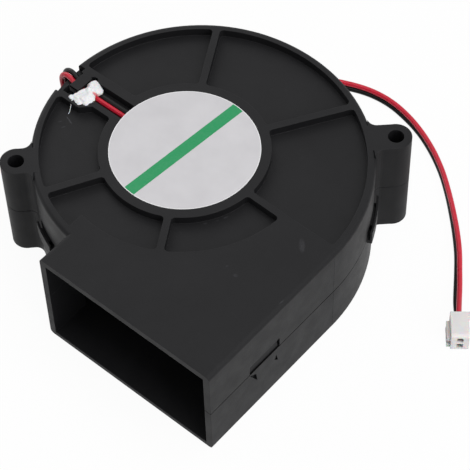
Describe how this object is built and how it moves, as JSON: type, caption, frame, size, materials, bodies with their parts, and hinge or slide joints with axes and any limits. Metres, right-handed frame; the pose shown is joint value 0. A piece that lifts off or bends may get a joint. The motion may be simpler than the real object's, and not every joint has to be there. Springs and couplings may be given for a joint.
{
  "type": "centrifugal blower fan",
  "caption": "Flat centrifugal DC blower with a black scroll casing, side outlet, hub motor, forward-curved impeller, screw ears and a two-wire lead with a plug.",
  "frame": {"origin": "rotor axis in the plane of the inlet-side face, which the blower lies on", "axes": "+Z along the rotor axis from the air inlet to the motor side, -Y out of the air outlet, +X towards the duct's far wall"},
  "size_m": [0.1354, 0.1231, 0.033],
  "materials": {
    "black_housing": "moulded glass-filled black plastic, fine spark texture, satin",
    "black_cover": "moulded glass-filled black plastic, fine spark texture, satin",
    "silver_label": "light grey polyester film with a slight sheen",
    "board": "green solder mask over glass-epoxy",
    "chip_epoxy": "black moulding epoxy",
    "capacitor_can": "drawn aluminium can",
    "tinned_pins": "tin plated",
    "lamination_steel": "stamped silicon steel sheets",
    "white_insulator": "off-white moulded nylon",
    "enamelled_wire": "copper wire with clear enamel, wound in layers",
    "brass_tube": "turned brass",
    "bearing_steel": "ground bearing steel",
    "polished_balls": "polished bearing balls",
    "cage_metal": "pressed metal cage",
    "spring_steel": "blued spring steel",
    "ground_shaft": "ground steel shaft",
    "yoke_steel": "deep-drawn plated steel cup",
    "bonded_magnet": "dark grey bonded ferrite ring",
    "black_impeller": "moulded black plastic, satin",
    "red_insulation": "red PVC wire insulation",
    "black_insulation": "black PVC wire insulation",
    "white_glue": "white silicone adhesive",
    "ivory_nylon": "natural white nylon"
  },
  "bodies": {
    "housing": {"motor_side_housing": "black_housing", "inlet_side_cover": "black_cover", "label": "silver_label", "circuit_board": "board", "driver_chip": "chip_epoxy", "hall_sensor": "chip_epoxy", "capacitor": "capacitor_can", "winding_pins": "tinned_pins", "stator_core": "lamination_steel", "upper_insulator": "white_insulator", "lower_insulator": "white_insulator", "coil_1": "enamelled_wire", "coil_2": "enamelled_wire", "coil_3": "enamelled_wire", "coil_4": "enamelled_wire", "bearing_tube": "brass_tube", "upper_bearing_outer_ring": "bearing_steel", "upper_bearing_shields": "bearing_steel", "lower_bearing_outer_ring": "bearing_steel", "lower_bearing_shields": "bearing_steel", "red_inner_lead": "red_insulation", "black_inner_lead": "black_insulation", "glue_bead": "white_glue", "red_lead": "red_insulation", "black_lead": "black_insulation", "connector_housing": "ivory_nylon", "crimp_terminals": "tinned_pins"},
    "rotor": {"shaft": "ground_shaft", "rotor_bush": "brass_tube", "rotor_yoke": "yoke_steel", "ring_magnet": "bonded_magnet", "impeller": "black_impeller", "upper_bearing_inner_ring": "bearing_steel", "lower_bearing_inner_ring": "bearing_steel", "preload_spring": "spring_steel", "retaining_clip": "spring_steel"},
    "upper_ball_set": {"upper_bearing_balls": "polished_balls", "upper_bearing_cage": "cage_metal"},
    "lower_ball_set": {"lower_bearing_balls": "polished_balls", "lower_bearing_cage": "cage_metal"}
  },
  "joints": [
    {"name": "rotor_spin", "type": "hinge", "parent": "housing", "child": "rotor", "pos_m": [0, 0, 0], "axis": [0, 0, 1], "continuous": true},
    {"name": "upper_ball_orbit", "type": "hinge", "parent": "housing", "child": "upper_ball_set", "pos_m": [0, 0, 0], "axis": [0, 0, 1], "continuous": true},
    {"name": "lower_ball_orbit", "type": "hinge", "parent": "housing", "child": "lower_ball_set", "pos_m": [0, 0, 0], "axis": [0, 0, 1], "continuous": true}
  ],
  "couplings": [
    {"joint": "upper_ball_orbit", "follows": "rotor_spin", "ratio": 0.3579},
    {"joint": "lower_ball_orbit", "follows": "rotor_spin", "ratio": 0.3579}
  ]
}
